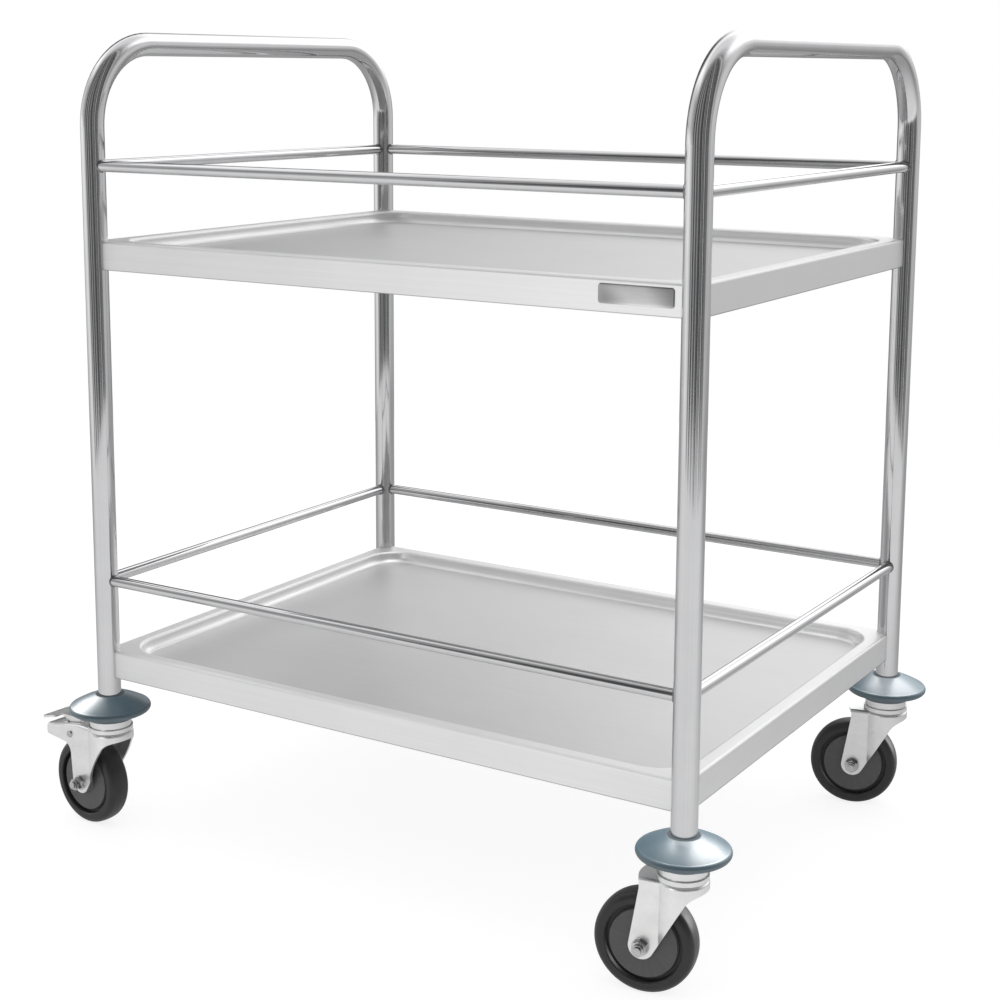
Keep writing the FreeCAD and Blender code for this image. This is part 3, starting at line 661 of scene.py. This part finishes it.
def room_light(tree):
    """A direction's height, and the room's light that reflections see there."""
    way = add(tree, "TexCoord").outputs["Generated"]
    height = add(tree, "SeparateXYZ", {0: way}).outputs["Z"]
    level = add(tree, "VectorMath", {0: way, 1: (1, 1, 0)}, operation="MULTIPLY").outputs[0]
    level = add(tree, "VectorMath", {0: level}, operation="NORMALIZE").outputs[0]

    def along(vector, turn, rise=0.0):
        yaw = CAMERA_YAW + turn
        flat = math.cos(rise)
        aim = (flat * math.sin(yaw), -flat * math.cos(yaw), math.sin(rise))
        return add(tree, "VectorMath", {0: vector, 1: aim}, operation="DOT_PRODUCT").outputs["Value"]

    facing = along(level, 0.0)
    aside = along(level, math.radians(90))
    near = along(way, 0.0, DARK_AIM_UP)

    # Sides, lit to the left and right, and dark with light stripes round the camera
    spot = add(tree, "SeparateXYZ", {0: level}).outputs
    azimuth = math_node(tree, "ARCTAN2", spot["Y"], spot["X"])
    around = add(tree, "CombineXYZ", {0: azimuth}).outputs[0]
    stripes = noise(tree, around, STRIPES, detail=2.0, roughness=0.6)
    dark = spread(tree, stripes, STRIPE_EDGE, (DARK_SIDE, STRIPE_LIGHT))
    left_side = spread(tree, height, LEFT_HEIGHTS, (LEFT_LIGHT, LEFT_HIGH_LIGHT), smooth=True)
    open_side = spread(tree, aside, LEFT_TO_RIGHT, (left_side, RIGHT_LIGHT), smooth=True)
    shown = spread(tree, near, DARK_TO_OPEN, (dark, open_side), smooth=True)

    # White top, which starts lower behind the object, on its right
    behind = math_node(tree, "ADD", facing, spread(tree, aside, LEFT_FORWARD_RANGE, (LEFT_FORWARD, 0.0)))
    top_start = spread(tree, behind, BACK_TO_SIDE, TOP_START)
    top_full = spread(tree, behind, BACK_TO_SIDE, TOP_FULL)
    over = ramp(tree, height, (top_start, top_full))
    over = math_node(tree, "MULTIPLY", over, ramp(tree, near, DARK_TO_TOP))
    top = spread(tree, height, ZENITH_HEIGHTS, (TOP_LIGHT, ZENITH_LIGHT), smooth=True)
    shown = blend(tree, over, shown, top)

    # Patch on the far side, which the trays' floors mirror
    far = ramp(tree, along(level, FAR_TURN), FAR_EDGE)
    far = math_node(tree, "MULTIPLY", far, spread(tree, height, FAR_TOP, (1.0, 0.0), smooth=True))
    far_light = spread(tree, aside, FAR_LEFT_TO_RIGHT, (FAR_LEFT_LIGHT, FAR_RIGHT_LIGHT), smooth=True)
    far_light = spread(tree, height, FAR_LOW_HEIGHTS, (FAR_LOW_LIGHT, far_light), smooth=True)
    shown = blend(tree, far, shown, far_light)

    # Ground past the floor's edge, with an uneven line where the sides end
    ground = along(level, FLOOR_TURN)
    ground = spread(tree, ground, GROUND_DIM_TO_BRIGHT, (FLOOR_DIM, FLOOR_BRIGHT), smooth=True)
    ground_start = spread(tree, facing, FAR_TO_NEAR, GROUND_START)
    ground_full = spread(tree, facing, FAR_TO_NEAR, GROUND_FULL)
    uneven = math_node(tree, "MULTIPLY", math_node(tree, "SUBTRACT", 0.5, stripes), STRIPE_REACH)
    depth = math_node(tree, "ADD", height, uneven)
    return height, blend(tree, ramp(tree, depth, (ground_start, ground_full)), shown, ground)


def make_world():
    """A white room: white to the camera, a plain dome to matt surfaces, and uneven in reflections."""
    world = bpy.data.worlds.new("studio")
    bpy.context.scene.world = world
    world.use_nodes = True

    # Its light depends on the kind of ray, so only the rays from surfaces find it
    world.cycles.sampling_method = "NONE"

    tree = world.node_tree
    height, mirrored = room_light(tree)
    path = add(tree, "LightPath").outputs
    dome = spread(tree, height, (0.0, 1.0), (DOME_LOW_LIGHT, DOME_TOP_LIGHT))
    clear = math_node(tree, "MAXIMUM", path["Is Camera Ray"], path["Is Transmission Ray"])
    strength = blend(tree, clear, blend(tree, path["Is Glossy Ray"], dome, mirrored), 1.0)
    background = tree.nodes["Background"]
    background.inputs["Color"].default_value = WHITE
    tree.links.new(strength, background.inputs["Strength"])


def soft_box(name, place, target, size, power, receivers):
    """A large soft lamp aimed at a point. It lights only some pieces, and nothing else shades them."""
    lamp = bpy.data.lights.new(name, "AREA")
    lamp.shape = "RECTANGLE"
    lamp.size, lamp.size_y = size
    lamp.energy = power
    holder = bpy.data.objects.new(name, lamp)
    holder.location = place
    holder.rotation_euler = (Vector(target) - Vector(place)).to_track_quat("-Z", "Y").to_euler()
    bpy.context.scene.collection.objects.link(holder)
    group = bpy.data.collections.new(name + "_pieces")
    for piece in receivers:
        group.objects.link(nodes[piece])
    holder.light_linking.receiver_collection = group
    holder.light_linking.blocker_collection = group


def make_lamps():
    """Soft boxes for the lower tray, for the front, and for the bumpers and tyres of each side."""
    middle = (0, 0, 0.4)
    soft_box(
        "fill_box",
        place=(0.3, 0.1, 2.2),
        target=middle,
        size=(1.5, 1.5),
        power=12,
        receivers=["lower_tray"],
    )
    heads = [f"{caster}_{piece}" for caster in CASTER_TURN for piece in ("fork", "stem")]
    pedals = [name for name in nodes if name.endswith("_pedal")]
    soft_box(
        "front_box",
        place=(-0.45, -2.3, 0.55),
        target=(0.33, -0.27, 0.5),
        size=(0.9, 1.4),
        power=7,
        receivers=["upper_tray", "lower_tray"] + heads + pedals,
    )
    soft_box(
        "left_box",
        place=(-2.2, 0.2, 1.6),
        target=middle,
        size=(1.1, 1.1),
        power=45,
        receivers=[f"{end}_left_{piece}" for end in ENDS for piece in ("bumper", "tyre")],
    )
    for end, power in (("front", 115), ("back", 70)):
        soft_box(
            f"{end}_right_box",
            place=(0.1, 1.2, 2.0),
            target=middle,
            size=(1.9, 1.9),
            power=power,
            receivers=[f"{end}_right_bumper"],
        )
    soft_box(
        "right_box",
        place=(1.5, 1.5, 0.5),
        target=(0.36, 0, 0.05),
        size=(1.2, 0.8),
        power=22,
        receivers=[f"{end}_right_tyre" for end in ENDS],
    )


def make_camera():
    """The camera, at the photograph's viewing angle."""
    right = Vector((math.cos(CAMERA_YAW), math.sin(CAMERA_YAW), 0))
    ahead = Vector((-math.sin(CAMERA_YAW), math.cos(CAMERA_YAW), 0))
    view = ahead * math.cos(CAMERA_PITCH) - UP * math.sin(CAMERA_PITCH)
    top = UP * math.cos(CAMERA_PITCH) + ahead * math.sin(CAMERA_PITCH)
    rolled_right = right * math.cos(CAMERA_ROLL) + top * math.sin(CAMERA_ROLL)
    rolled_top = top * math.cos(CAMERA_ROLL) - right * math.sin(CAMERA_ROLL)
    data = bpy.data.cameras.new("camera")
    data.sensor_width = CAMERA_SENSOR
    data.lens = CAMERA_LENS
    data.shift_y = CAMERA_SHIFT_Y
    camera = bpy.data.objects.new("camera", data)
    axes = Matrix((rolled_right, rolled_top, -view)).transposed().to_4x4()
    camera.matrix_world = Matrix.Translation(CAMERA_PLACE) @ axes
    bpy.context.scene.collection.objects.link(camera)
    bpy.context.scene.camera = camera


dress_frame()
new_piece("front_plate", plate_mesh, plate_steel(), "frame")
weld_finish = weld_bead()
for level in ("upper", "lower"):
    new_piece(level + "_rail_welds", weld_mesh(level), weld_finish, "frame")
make_floor()
make_world()
make_lamps()
make_camera()
bpy.context.scene.view_settings.view_transform = "Standard"
